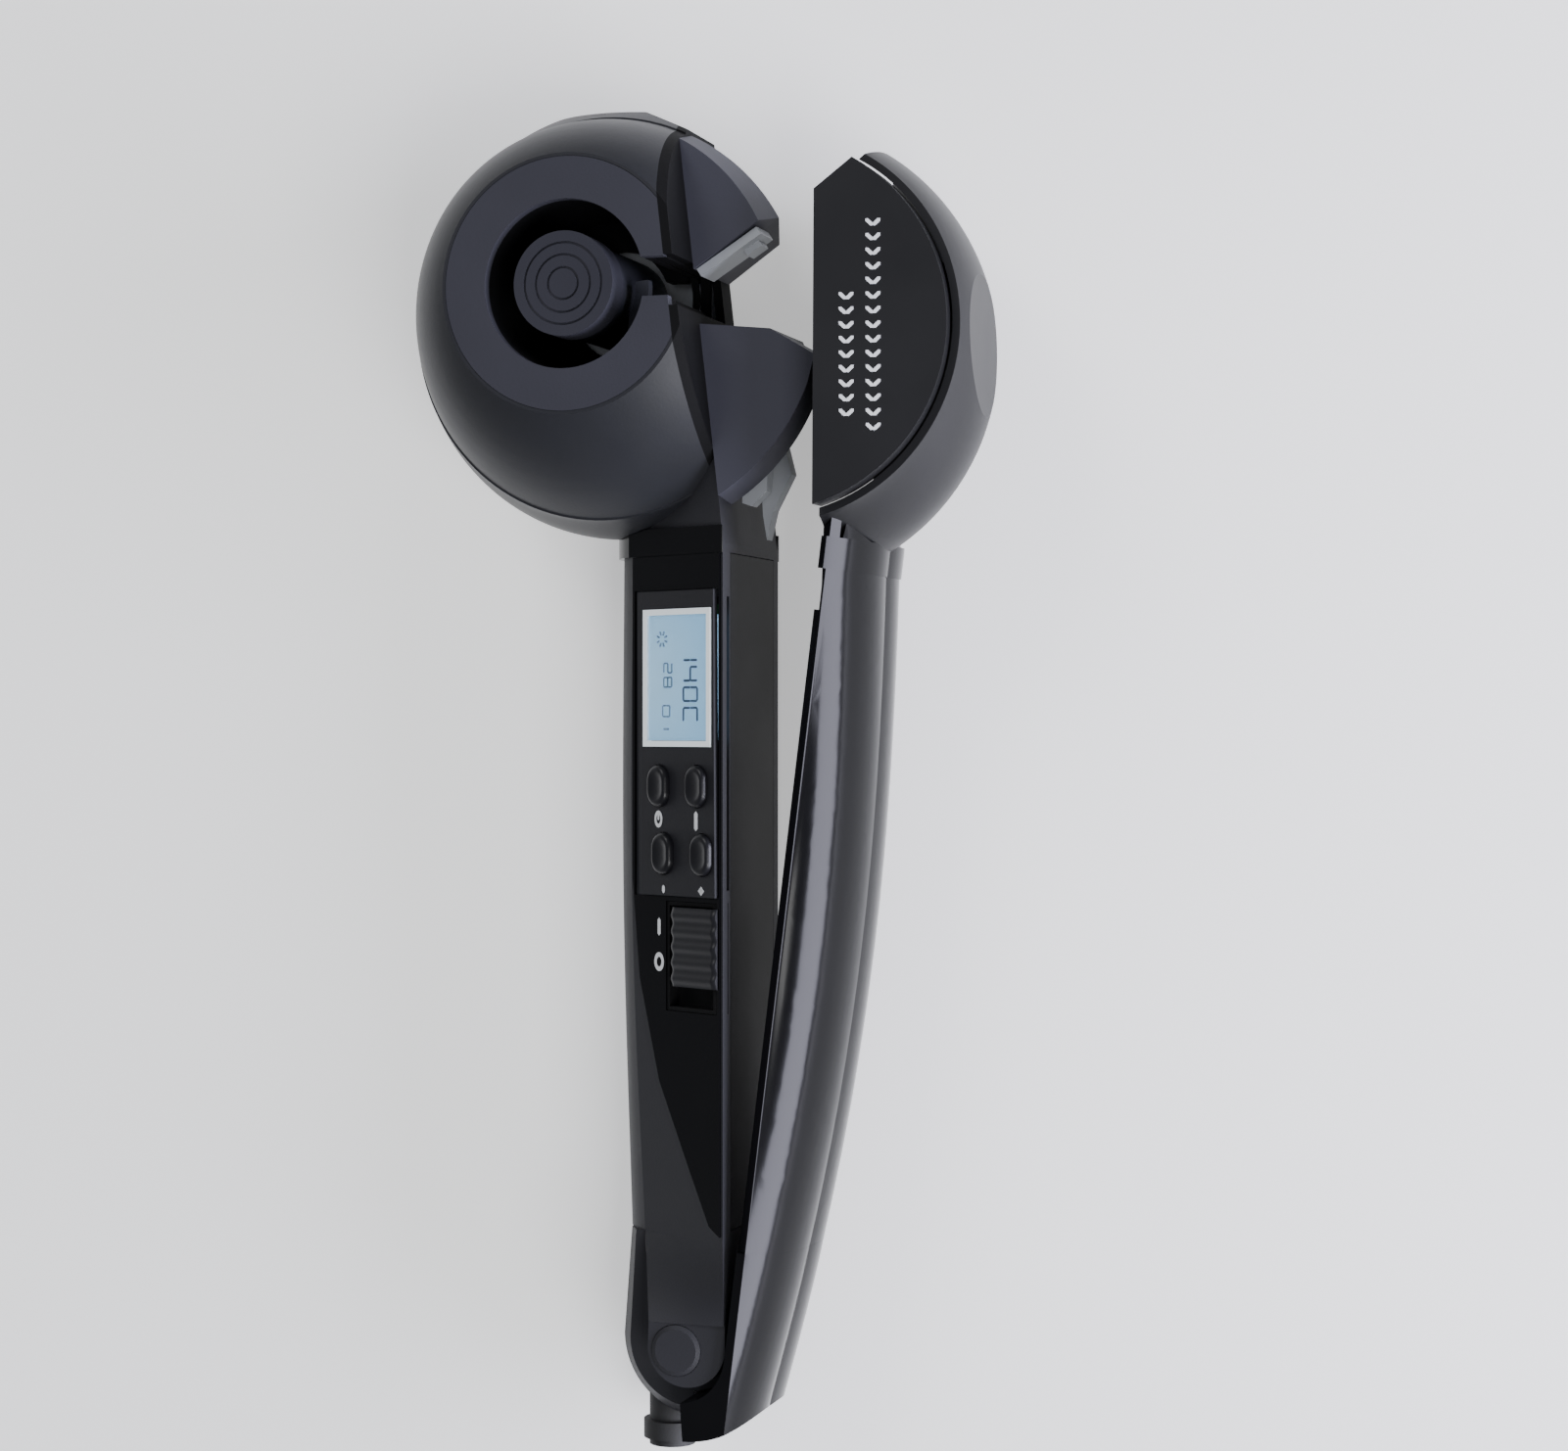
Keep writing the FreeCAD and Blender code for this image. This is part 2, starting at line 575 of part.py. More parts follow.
def drive():
    z = (d.gear_low_z - 1, d.gear_low_z + d.gear_wall + 1)
    turns = []
    for name, side, (x, y) in zip(("idler_left", "idler_right"), (-1, 1), IDLER_SPOTS):
        direction = -90 + side * d.idler_angle.value
        turn = mesh_turn(0, d.ring_teeth.value, direction, d.idler_teeth.value)
        node(name, cut(gear_wheel(d.idler_teeth, x, y, turn),
                       cylinder(x, y, z, d.axle_r + d.running_gap)))
        rise = math.degrees(math.atan2(PINION_Y.value - y.value, d.dome_x.value - x.value))
        turns.append(mesh_turn(turn, d.idler_teeth.value, rise, d.pinion_teeth.value))
    node("motor_pinion", cut(gear_wheel(d.pinion_teeth, d.dome_x, PINION_Y, turns[0]),
                             cylinder(d.dome_x, PINION_Y, z, 1)))
    low, high = d.chassis_z + d.chassis_wall, d.gear_low_z + d.gear_wall + 1.2
    axles = [fuse(cylinder(x, y, (low, high), d.axle_r), cylinder(x, y, (low, low + 0.4), 2.3),
                  cylinder(x, y, (high - 0.9, high), 2.6)) for x, y in IDLER_SPOTS]
    node("idler_axles", fuse(*axles))
    x, y, top = d.dome_x, PINION_Y, d.chassis_z
    body = fuse(cylinder(x, y, (top - d.motor_len, top), d.motor_r),
                cylinder(x, y, (top - 0.1, top + 1.4), 3.3))
    holes = [cylinder(ex, y, (top - 3.2, top + 3), 1) for ex in (x - 7.4, x + 7.4)]
    node("motor", cut(body, cylinder(x, y, (top - 4, top + 3), 1.05), *holes))
    node("motor_shaft", cylinder_node(x, y, (top - 4, high - 0.4), 1))
    plate_top = top + d.chassis_wall
    screws = [fuse(cylinder(ex, y, (plate_top, plate_top + 0.4), 1.6),
                   cylinder(ex, y, (top - 3, plate_top + 0.1), 0.9)) for ex in (x - 7.4, x + 7.4)]
    node("motor_screws", fuse(*screws))


def cylinder_node(x, y, z, radius):
    """A single upright cylinder made as a pad, so that its own Placement stays free."""
    sketch = doc.addObject("Sketcher::SketchObject", "disc")
    circle = sketch.addGeometry(Part.Circle(FreeCAD.Vector(x.value, y.value, 0), AXIS_Z, radius))
    radius = size(radius)
    for kind, spot, number in (("Radius", (), radius), ("DistanceX", (3,), x), ("DistanceY", (3,), y)):
        lock = sketch.addConstraint(Sketcher.Constraint(kind, circle, *spot, number.value))
        sketch.setExpression(f"Constraints[{lock}]", number.text)
    move(sketch, 0, 0, z[0])
    return prism(sketch, AXIS_Z, size(z[1]) - z[0])


# ---------------------------------------------------------------- main arm


# Places along the arms: height, outer side of the main arm, outer side of the lid arm.
ARM_STATIONS = [(198, -21.1, 19.4), (142, -21.4, 24), (92, -21.1, 25.8), (56, -19.4, 24.7),
                (24, -17.3, 22)]


def main_arm_loft(inset=0, low=0, high=0):
    stations = [(y, side) for y, side, _ in ARM_STATIONS]
    stations[0] = (stations[0][0] + high, stations[0][1])
    stations[-1] = (stations[-1][0] - low, stations[-1][1])
    return loft([arm_section(y, side, inset) for y, side in stations])


def lid_arm_loft(inset=0, low=0, high=0):
    stations = [(y, side) for y, _, side in ARM_STATIONS]
    stations[0] = (stations[0][0] + high, stations[0][1])
    stations[-1] = (stations[-1][0] - low, stations[-1][1])
    return loft([lid_section(y, side, inset) for y, side in stations])


def on_face(shape):
    """Carry a shape drawn flat to the tilted control face: X runs up to the ridge at 0."""
    carrier = doc.addObject("Part::Compound", "on_face")
    carrier.Links = [shape]
    return compound([move(carrier, d.mate_x, 0, d.ridge_z, AXIS_Y, -d.face_tilt)])


def face_box(x, y, z):
    return on_face(box(x, y, z))


def main_arm():
    head = fuse(main_back(), main_dome())
    recess = face_box((-18.3, -1.7), (73.9, 98.3), (-3.4, 4))
    window = face_box((-26, -1.4), (101, 165.5), (-4, 2))
    inner = box((d.mate_x - 2.2, d.mate_x + 2), (d.tail_y + 2, d.neck_y - 0.8),
                (d.arm_back_z + 3.4, d.ridge_z - 5.4))
    shell = cut(main_arm_loft(), main_arm_loft(inset=d.shell_wall, low=1, high=1), head,
                recess, window, inner, beyond_split(-0.1),
                *[cylinder(d.mate_x - 7, y, (d.arm_back_z - 1, d.arm_back_z + 1), 2.5) for y in ARM_SCREWS],
                *[cylinder(d.mate_x - 7, y, (d.arm_back_z - 1, d.arm_back_z + 3), 1) for y in ARM_SCREWS])
    node("arm_shell", shell)
    cover = box((d.mate_x - 2, d.mate_x), (d.tail_y + 2.2, d.neck_y - 1),
                (d.arm_back_z + 3.6, d.ridge_z - 5.6))
    x, back = d.mate_x - 7, d.arm_back_z
    bosses = [cut(box((x - 4, d.mate_x - 1.9), (y - 4, y + 4), (back + 3.7, back + 11)),
                  cylinder(x, y, (back + 2, back + 8.2), 0.95)) for y in ARM_SCREWS]
    node("arm_inner_face", fuse(cover, *bosses))
    screws = [fuse(cylinder(x, y, (back + 0.05, back + 0.95), 2.4),
                   cylinder(x, y, (back + 0.9, back + 8), 0.9)) for y in ARM_SCREWS]
    node("arm_screws", fuse(*screws))


# Heights of the screws that hold the inner face, sunk in the back of the main arm.
ARM_SCREWS = (40, 100, 160)


def neck_collar():
    band = common(loft([arm_section(y, -21.4, -0.7) for y in (d.neck_y - 1, d.neck_y + 5)], ruled=True),
                  box((-30, d.mate_x), (170, 190), (-30, 30)))
    node("neck_collar", cut(band, main_arm_loft(), fuse(main_back(), main_dome())))


def control_face():
    low, high = d.panel_low_y, d.panel_high_y
    inlay = slab([(-0.6, 25.5), (-0.6, d.neck_y - 1.1), (-29.8, d.neck_y - 1.1), (-29.8, 103),
                  (-27.3, 80.7), (-20.6, 58), (-10.9, 40), (-4, 27.5)], 0.02, 0.5)
    inlay = cut(inlay, box((-29, -0.9), (low - 0.3, high + 0.3), (-1, 2)),
                box((-18.3, -1.5), (73.9, 98.3), (-1, 2)))
    node("gloss_inlay", on_face(inlay))
    plate = slab([(-26.6, low), (-1.2, low), (-1.7, high), (-27.2, high)], 0.02, 1.3)
    window = box((-25.1, -2.3), (132.4, 163.1), (-2, 3))
    holes = [oval(x, y, 0.25, (-2, 3)) for x, y in KEY_SPOTS]
    node("control_panel", on_face(cut(plate, window, *holes)))
    frame = cut(box((-25, -2.4), (132.5, 163), (0.1, 1.6)), box((-23.7, -3.7), (133.8, 161.7), (-1, 3)))
    node("display_bezel", on_face(frame))
    node("display_window", face_box((-23.6, -3.8), (133.9, 161.6), (0.9, 1.4)))
    node("display_module", face_box((-23.6, -3.8), (133.9, 161.6), (-3.2, 0.8)))
    board = cut(box((-23.8, -6), (102.5, 164), (-5, -3.4)), box((-15, -11), (110, 122), (-6, -3)))
    node("control_board", on_face(board))
    switches = [box((x - 2.2, x + 2.2), (y - 2.2, y + 2.2), (-3.4, -2.1)) for x, y in KEY_SPOTS]
    node("key_switches", on_face(fuse(*switches)))


# Key centres on the control face: two rows of two.
KEY_SPOTS = [(-19.65, d.key_high_y), (-7, d.key_high_y), (-18.2, d.key_low_y), (-5.3, d.key_low_y)]
KEY_NAMES = ["key_timer", "key_mode", "key_minus", "key_plus"]


def oval(x, y, grow, z):
    """An oval slab: a flat middle between two round ends, long along the arm."""
    half, radius, x, y = 1.5, size(3.2) + grow, size(x), size(y)
    bend = radius * 1.001
    return slab([(x - radius, y - half, bend), (x + radius, y - half), (x + radius, y + half, bend),
                 (x - radius, y + half)], *z)


def keys():
    for name, (x, y) in zip(KEY_NAMES, KEY_SPOTS):
        stem = fuse(oval(x, y, 0, (-0.9, 1.3 + 0.9)), oval(x, y, -0.7, (1.3 + 0.8, d.button_lift + 1.3)),
                    oval(x, y, 0.4, (-1.3, -0.7)))
        node(name, on_face(stem))


def power_switch():
    tub = cut(box((-18.2, -1.8), (74, 98.2), (-3.2, 0.3)), box((-17.3, -2.7), (74.9, 97.3), (-2.4, 3)))
    node("switch_tub", on_face(tub))
    low, high = d.knob_low_y, d.knob_high_y
    knob = fuse(box((-15.8, -3), (low, high), (-2.2, 0.7)), box((-15.8, -0.9), (low, high), (0.6, 1.1)))
    ribs = [box((-15, -1.6), (low + 0.8 + 3.2 * step, low + 2.9 + 3.2 * step), (1, 1.9))
            for step in range(5)]
    node("power_knob", on_face(fuse(knob, *ribs)))


# ---------------------------------------------------------------- tail, hinge and cord gland


def tail():
    """Round tail with a step that clears the end of the lid arm, and a tongue in front that
    turns from the tilt of the control face to level round the hinge cap."""
    low, high = d.eye_low_z, d.eye_high_z
    around = [(d.mate_x, 0), (d.mate_x, d.tail_y), (-16.2, d.tail_y), (-d.tail_r, 0, d.tail_r),
              (0, -d.tail_r), (0, -d.mate_x, d.mate_x)]
    shoulder = [(d.mate_x, 0), (d.mate_x, d.tail_y), (-13.6, d.tail_y), (-d.tail_r + 3, 0, d.tail_r - 3),
                (0, -d.tail_r + 3), (0, -d.mate_x, d.mate_x)]
    high_end = outline([(d.mate_x, 2), (d.mate_x, -d.ridge_z), (-11.2, -4.1), (-15, 2)],
                       axis=AXIS_X, angle=-90, y=d.tail_y)
    low_end = outline([(d.mate_x, 2), (d.mate_x, -d.ridge_z + 0.6), (-6.4, -d.ridge_z + 1.4), (-9, 2)],
                      axis=AXIS_X, angle=-90, y=6)
    boss = slab([(d.mate_x, 0), (d.mate_x, 6.1), (-6.4, 6.1), (-6.6, 0, 8.95)], -2, d.ridge_z - 1.4)
    body = fuse(slab(around, d.foot_z, -1),
                loft([outline(around, -1.1), outline(shoulder, 3.6)], ruled=True),
                loft([high_end, low_end], ruled=True), boss)
    eye_space = fuse(cylinder(0, 0, (low, high), d.eye_r + 0.7), box((0, 14), (-11, 11), (low, high)))
    body = cut(body, eye_space, cylinder(0, 0, (d.foot_z - 1, d.cap_seat_z + 1), d.pin_r + d.running_gap),
               cylinder(0, 0, (d.cap_seat_z, d.ridge_z + 5), d.cap_disc_r + 0.1),
               cylinder(0, 0, (d.foot_z - 1, d.foot_z + 2.2), 5.2),
               rod(d.gland_x, -10.5, d.gland_z, d.gland_r + d.running_gap, 20, AXIS_X, 90),
               rod(d.gland_x, -10.5, d.gland_z, d.gland_r + 1.2, 2.4, AXIS_X, 90),
               main_arm_loft(inset=d.shell_wall))
    node("tail_housing", cut(body, box((d.gland_x - 2, d.gland_x + 2), (-11, 30), (-16, d.eye_low_z - 0.5))))
    node("hinge_pin", fuse(cylinder(0, 0, (d.foot_z + 0.6, d.foot_z + 2.1), 5),
                           cylinder(0, 0, (d.foot_z + 2, d.cap_seat_z - 0.1), d.pin_r)))
    node("hinge_cap", round_loft([(0, 0, d.cap_seat_z + 0.02, d.cap_disc_r),
                                  (0, 0, d.ridge_z - 1.2, d.cap_disc_r),
                                  (0, 0, d.ridge_z - 0.8, d.cap_disc_r - 0.9)], ruled=True))
    washers = [cut(cylinder(0, 0, (z + 0.02, z + 0.4), 7), cylinder(0, 0, (z - 1, z + 2), d.pin_r + 0.06))
               for z in (low, high - 0.42)]
    node("hinge_washers", compound(washers))
    collar = cut(fuse(rod(d.gland_x, -11, d.gland_z, d.gland_r, 15, AXIS_X, 90),
                      rod(d.gland_x, -11, d.gland_z, d.gland_r + 1.1, 1.6, AXIS_X, 90),
                      rod(d.gland_x, -20.4, d.gland_z, d.gland_r + 1.3, 4, AXIS_X, 90)),
                 rod(d.gland_x, -10, d.gland_z, d.gland_bore_r, 20, AXIS_X, 90))
    node("cord_gland", collar)


def compound(shapes):
    """Separate solids of one node."""
    obj = doc.addObject("Part::Compound", "set")
    obj.Links = shapes
    return obj


def hinge_spring():
    """Torsion spring round the pin, inside the eye."""
    wire, turns = 0.5, 3.5
    helix = bind(doc.addObject("Part::Helix", "helix"), Pitch=1.4, Height=turns * 1.4, Radius=4.8)
    move(helix, 0, 0, d.eye_low_z + 4)
    section = bind(doc.addObject("Part::Circle", "wire"), Radius=wire)
    move(section, 4.8, 0, d.eye_low_z + 4, AXIS_X, 90)
    coil = doc.addObject("Part::Sweep", "coil")
    coil.Sections, coil.Spine, coil.Solid, coil.Frenet = [section], (helix, ["Edge1"]), True, True
    node("hinge_spring", compound([coil]))


# ---------------------------------------------------------------- lid arm, drawn closed


def lid_head():
    wall = d.shell_wall
    shell = cut(lid_shape(), lid_shape(inset=wall, floor=2.2, lift=0.3), lid_corner())
    node("lid_head_shell", common(shell, beyond_split(d.lid_gap)), lid=True)
    corner = split_at(254) + d.lid_gap
    reach = d.panel_r - d.shell_wall - 0.1
    face = slab([(corner, 254), (split_at(187.2) + d.lid_gap, 187.2, reach), (10.7, 261.4)],
                d.panel_seam_z - 1.6, d.panel_z + 6)
    roof = move(bind(doc.addObject("Part::Box", "roof"), Length=90, Width=120, Height=30),
                d.split_x - 6, 160, d.panel_z + 1.1, AXIS_Y, d.panel_slope)
    hollow = slab([(corner + 2, 252), (split_at(189.6) + d.lid_gap + 2, 189.6, reach - 2.4), (11, 258.6)],
                  d.panel_seam_z - 4, d.panel_seam_z - 0.2)
    node("lid_front_panel", cut(face, roof, hollow), lid=True)
    nose = slab([(15.5, 234.5), (15.5, 230), (36.5, 229.5), (34.5, 242), (24, 242)], -10, 14)
    node("lid_pusher", common(nose, lid_shape(inset=wall + 0.06, floor=3)), lid=True)


# The round outer side runs on round the hinge: height, outer side.
LID_TAIL_STATIONS = [(25, 22.1), (11, 20.6), (-2, 18.8), (-22, 15.8)]


def lid_arm():
    wall = d.shell_wall
    left = d.mate_x + d.mate_gap
    window = box((left - 2, left + 2.1), (d.tail_y + 4, d.neck_y + 18), (d.arm_back_z + 3.4, d.ridge_z - 5))
    shell = cut(lid_arm_loft(), lid_arm_loft(inset=wall, high=1), lid_shape(), window,
                cut(box((-60, 60), (165, 215), (-60, 60)), beyond_split(d.lid_gap)))
    node("lid_arm_shell", shell, lid=True)
    cover = box((left, left + 2), (d.tail_y + 4.2, d.neck_y - 6), (d.arm_back_z + 3.6, d.ridge_z - 5.2))
    holes = [rod(left - 1, y, -8, 1.9, 6, AXIS_Y, 90) for y in (55, 110, 160)]
    node("lid_inner_face", cut(cover, *holes), lid=True)
    screws = [fuse(rod(left + 0.4, y, -8, 1.8, 1.5, AXIS_Y, 90), rod(left + 1.8, y, -8, 0.9, 6, AXIS_Y, 90))
              for y in (55, 110, 160)]
    node("lid_screws", fuse(*screws), lid=True)
    end = [(left, d.tail_y), (left, 0, -left), (2.4, -left + 0.25), (4, -19.4, 24), (25, 6),
           (25, d.tail_y)]
    around = loft([lid_section(y, side, spread=16) for y, side in LID_TAIL_STATIONS])
    eye_slot = box((6, 15.5), (-7.9, 7.9), (d.eye_low_z + 0.5, d.eye_high_z - 0.5))
    node("lid_tail", cut(common(slab(end, d.arm_back_z, d.ridge_z), around), eye_slot), lid=True)
    low, high = d.eye_low_z + 0.5, d.eye_high_z - 0.5
    eye = fuse(cylinder(0, 0, (low, high), d.eye_r), box((0, 15.4), (-7.8, 7.8), (low, high)))
    eye = cut(eye, cylinder(0, 0, (low - 1, high + 1), d.pin_r + d.running_gap),
              cylinder(0, 0, (low + 2.5, high - 2.5), 6.4))
    node("lid_eye", eye, lid=True)


def lid_collar():
    band = common(loft([lid_section(y, 21.2, -0.5) for y in (d.neck_y - 2, d.neck_y + 5)], ruled=True),
                  box((d.mate_x + d.mate_gap, 60), (170, 190), (-30, 30)))
    node("lid_collar", cut(band, lid_arm_loft(), lid_shape()), lid=True)


# ---------------------------------------------------------------- build, check and write

head_shells()
head_screws()
mouth_plate()
chamber()
mouth_guides()
throat_trim()
barrel()
chassis()
rotor()
drive()
main_arm()
neck_collar()
control_face()
keys()
power_switch()
tail()
hinge_spring()
lid_head()
lid_arm()
lid_collar()

doc.recompute()
failed = [obj.Label for obj in doc.Objects if "Invalid" in obj.State or "Error" in obj.State]
if failed:
    raise SystemExit(f"failed to build: {failed}")
os.makedirs("parts", exist_ok=True)
for piece in nodes:
    if piece.Shape.isNull() or not piece.Shape.isValid():
        raise SystemExit(f"{piece.Label} has no valid shape")
    piece.Shape.exportStep(f"parts/{piece.Label}.step")
    bounds = piece.Shape.BoundBox
    print(f"{piece.Label:18} solids {len(piece.Shape.Solids)} volume {piece.Shape.Volume:9.0f} "
          f"x {bounds.XMin:7.1f} {bounds.XMax:7.1f} y {bounds.YMin:7.1f} {bounds.YMax:7.1f} "
          f"z {bounds.ZMin:6.1f} {bounds.ZMax:6.1f}")
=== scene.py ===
import json
import math
import bmesh
import bpy
from mathutils import Matrix, Vector


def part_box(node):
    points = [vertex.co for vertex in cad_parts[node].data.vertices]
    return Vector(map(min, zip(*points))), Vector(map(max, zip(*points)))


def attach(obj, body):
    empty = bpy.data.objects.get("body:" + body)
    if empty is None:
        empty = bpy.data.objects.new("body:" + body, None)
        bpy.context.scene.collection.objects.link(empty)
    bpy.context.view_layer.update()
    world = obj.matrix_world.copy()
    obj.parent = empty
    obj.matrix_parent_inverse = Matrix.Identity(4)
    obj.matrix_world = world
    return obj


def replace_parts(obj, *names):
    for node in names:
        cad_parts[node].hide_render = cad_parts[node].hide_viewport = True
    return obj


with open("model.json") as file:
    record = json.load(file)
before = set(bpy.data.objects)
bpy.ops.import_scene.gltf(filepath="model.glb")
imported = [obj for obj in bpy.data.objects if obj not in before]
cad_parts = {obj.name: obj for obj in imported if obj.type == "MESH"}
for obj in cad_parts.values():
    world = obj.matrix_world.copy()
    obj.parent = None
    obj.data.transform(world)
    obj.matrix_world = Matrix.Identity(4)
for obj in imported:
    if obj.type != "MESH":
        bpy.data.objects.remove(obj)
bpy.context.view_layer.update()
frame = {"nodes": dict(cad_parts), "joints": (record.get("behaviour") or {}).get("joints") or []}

# Automatic hair curler: looks.  Metres, in the row frame: +Y towards the heads, +Z the front face.
MM = 0.001
MAIN, LID = "main", "lid"

# ------------------------------------------------------------------ places read from the frame


def joint(name):
    return next(entry for entry in frame["joints"] if entry["name"] == name)


def centre(node):
    low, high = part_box(node)
    return (Vector(low) + Vector(high)) / 2


HINGE = Vector(joint("lid_hinge")["pos_m"])
PRESS = Vector(joint("key_plus_press")["axis"])


def face_matrix():
    """The control face: X up to the ridge, Y along the arm, Z out of the face."""
    out = -PRESS
    along = Vector((0, 1, 0))
    across = along.cross(out)
    matrix = Matrix((across, along, out)).transposed().to_4x4()
    ridge = Vector((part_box("arm_inner_face")[1][0], HINGE.y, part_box("tail_housing")[1][2]))
    matrix.translation = ridge
    return matrix


FACE = face_matrix()
FACE_BACK = FACE.inverted()


def on_face(point):
    """A row-frame point in control-face terms."""
    return FACE_BACK @ Vector(point)


# ------------------------------------------------------------------ materials


def noise(tree, scale, detail=4.0, stretch=(1, 1, 1)):
    """A noise texture in object space, stretched along the axes."""
    spot = tree.nodes.new("ShaderNodeTexCoord")
    mapping = tree.nodes.new("ShaderNodeMapping")
    mapping.inputs["Scale"].default_value = stretch
    texture = tree.nodes.new("ShaderNodeTexNoise")
    texture.inputs["Scale"].default_value = scale
    texture.inputs["Detail"].default_value = detail
    tree.links.new(spot.outputs["Object"], mapping.inputs["Vector"])
    tree.links.new(mapping.outputs["Vector"], texture.inputs["Vector"])
    return texture.outputs["Fac"]


def ramp(tree, value, low, high):
    """Map a 0..1 value onto a low..high range."""
    node = tree.nodes.new("ShaderNodeMapRange")
    node.inputs["To Min"].default_value = low
    node.inputs["To Max"].default_value = high
    tree.links.new(value, node.inputs["Value"])
    return node.outputs["Result"]


def material(name, colour, rough, metal=0.0, grain=900, bump=0.02, spread=0.06, wear=0.0,
             coat=0.0, stretch=(1, 1, 1), specular=0.5):
    """A moulded or machined surface: fine grain, uneven roughness and worn, paler patches."""
    made = bpy.data.materials.new(name)
    made.use_nodes = True
    tree = made.node_tree
    shader = tree.nodes["Principled BSDF"]
    shader.inputs["Metallic"].default_value = metal
    shader.inputs["Coat Weight"].default_value = coat
    shader.inputs["Coat Roughness"].default_value = 0.04
    shader.inputs["Specular IOR Level"].default_value = specular
    shader.inputs["Base Color"].default_value = (*colour, 1)
    patches = noise(tree, 35, 5, stretch)
    if wear:
        mix = tree.nodes.new("ShaderNodeMix")
        mix.data_type = "RGBA"
        mix.inputs["A"].default_value = (*colour, 1)
        mix.inputs["B"].default_value = (*[min(1, part * 1.6 + 0.01) for part in colour], 1)
        tree.links.new(ramp(tree, patches, -0.6 * wear, 1.4 * wear), mix.inputs["Factor"])
        tree.links.new(mix.outputs["Result"], shader.inputs["Base Color"])
    tree.links.new(ramp(tree, patches, rough - spread, rough + spread), shader.inputs["Roughness"])
    relief = tree.nodes.new("ShaderNodeBump")
    relief.inputs["Strength"].default_value = bump
    relief.inputs["Distance"].default_value = 0.0002
    tree.links.new(noise(tree, grain, 3, stretch), relief.inputs["Height"])
    tree.links.new(relief.outputs["Normal"], shader.inputs["Normal"])
    return made


def glow(made, colour, strength):
    shader = made.node_tree.nodes["Principled BSDF"]
    shader.inputs["Emission Color"].default_value = (*colour, 1)
    shader.inputs["Emission Strength"].default_value = strength
    return made


CHARCOAL = material("charcoal_shell", (0.013, 0.0135, 0.017), 0.44, grain=1400, bump=0.10, wear=0.2,
                    specular=0.32)
RING = material("charcoal_ring", (0.030, 0.030, 0.039), 0.6, grain=1600, bump=0.14, wear=0.2,
                specular=0.2)
GUIDE = material("guide_plastic", (0.040, 0.040, 0.053), 0.55, grain=1500, bump=0.12, wear=0.2,
                 specular=0.2)
HANDLE = material("soft_touch_handle", (0.021, 0.021, 0.025), 0.55, grain=1800, bump=0.15, wear=0.15,
                  specular=0.25)
GLOSS = material("piano_black", (0.0020, 0.0020, 0.0026), 0.14, grain=260, bump=0.006, spread=0.02,
                 wear=0.1, specular=0.18)
SATIN = material("satin_black", (0.008, 0.008, 0.009), 0.42, grain=1200, bump=0.05, wear=0.15,
                 specular=0.3)
DEEP = material("deep_black", (0.0025, 0.0025, 0.003), 0.7, grain=1200, bump=0.08, wear=0.2,
                specular=0.12)
# Painted shade: the arm's inner face gets a darker, less shiny copy of the satin black that the lid's inner
# face wears.
SHADE = material("inner_face_painted_shade", (0.0035, 0.0035, 0.0045), 0.42, grain=1200, bump=0.05, wear=0.15,
                 specular=0.10)
PANEL = material("panel_black", (0.011, 0.011, 0.014), 0.5, grain=1600, bump=0.12, wear=0.15,
                 specular=0.25)
PALE = material("pale_nylon", (0.26, 0.27, 0.29), 0.5, grain=1100, bump=0.08, wear=0.3)
CERAMIC = material("ceramic_coat", (0.020, 0.021, 0.028), 0.5, grain=1500, bump=0.12, wear=0.2,
                   specular=0.25)
CAP = material("barrel_cap_plastic", (0.023, 0.023, 0.031), 0.6, grain=1500, bump=0.12, wear=0.2,
               specular=0.2)
STEEL = material("machined_steel", (0.46, 0.46, 0.48), 0.30, metal=1, grain=700, bump=0.05,
                 stretch=(1, 8, 1), wear=0.2)
PLATE = material("rolled_aluminium", (0.55, 0.56, 0.57), 0.38, metal=1, grain=500, bump=0.05,
                 stretch=(8, 1, 1), wear=0.2)
ACETAL = material("acetal", (0.62, 0.60, 0.54), 0.40, grain=900, bump=0.05, wear=0.2)
BOARD = material("solder_mask", (0.010, 0.085, 0.030), 0.35, grain=600, bump=0.08, wear=0.3)
RUBBER = material("rubber", (0.010, 0.010, 0.011), 0.68, grain=1500, bump=0.25, wear=0.3)
KEY_BLACK = material("key_rubber", (0.006, 0.006, 0.008), 0.36, grain=1500, bump=0.08, wear=0.2,
                     specular=0.30)
# The white print carries a faint emission: a painted glow, as print is no lamp.
PRINT = glow(material("white_print_painted_glow", (0.62, 0.63, 0.65), 0.5, grain=1500, bump=0.10, wear=0.3),
             (0.7, 0.72, 0.75), 0.05)
# The white bezel carries a bluish emission: a painted glow, as the bezel is no lamp.
BEZEL = glow(material("white_bezel_painted_glow", (0.80, 0.84, 0.86), 0.35, grain=900, bump=0.04, wear=0.1),
             (0.8, 0.9, 0.95), 0.25)
SEGMENT = material("display_segment", (0.09, 0.16, 0.26), 0.45, grain=1200, bump=0.06, wear=0.2)
FAINT = material("display_faint", (0.24, 0.40, 0.54), 0.45, grain=1200, bump=0.06, wear=0.2)


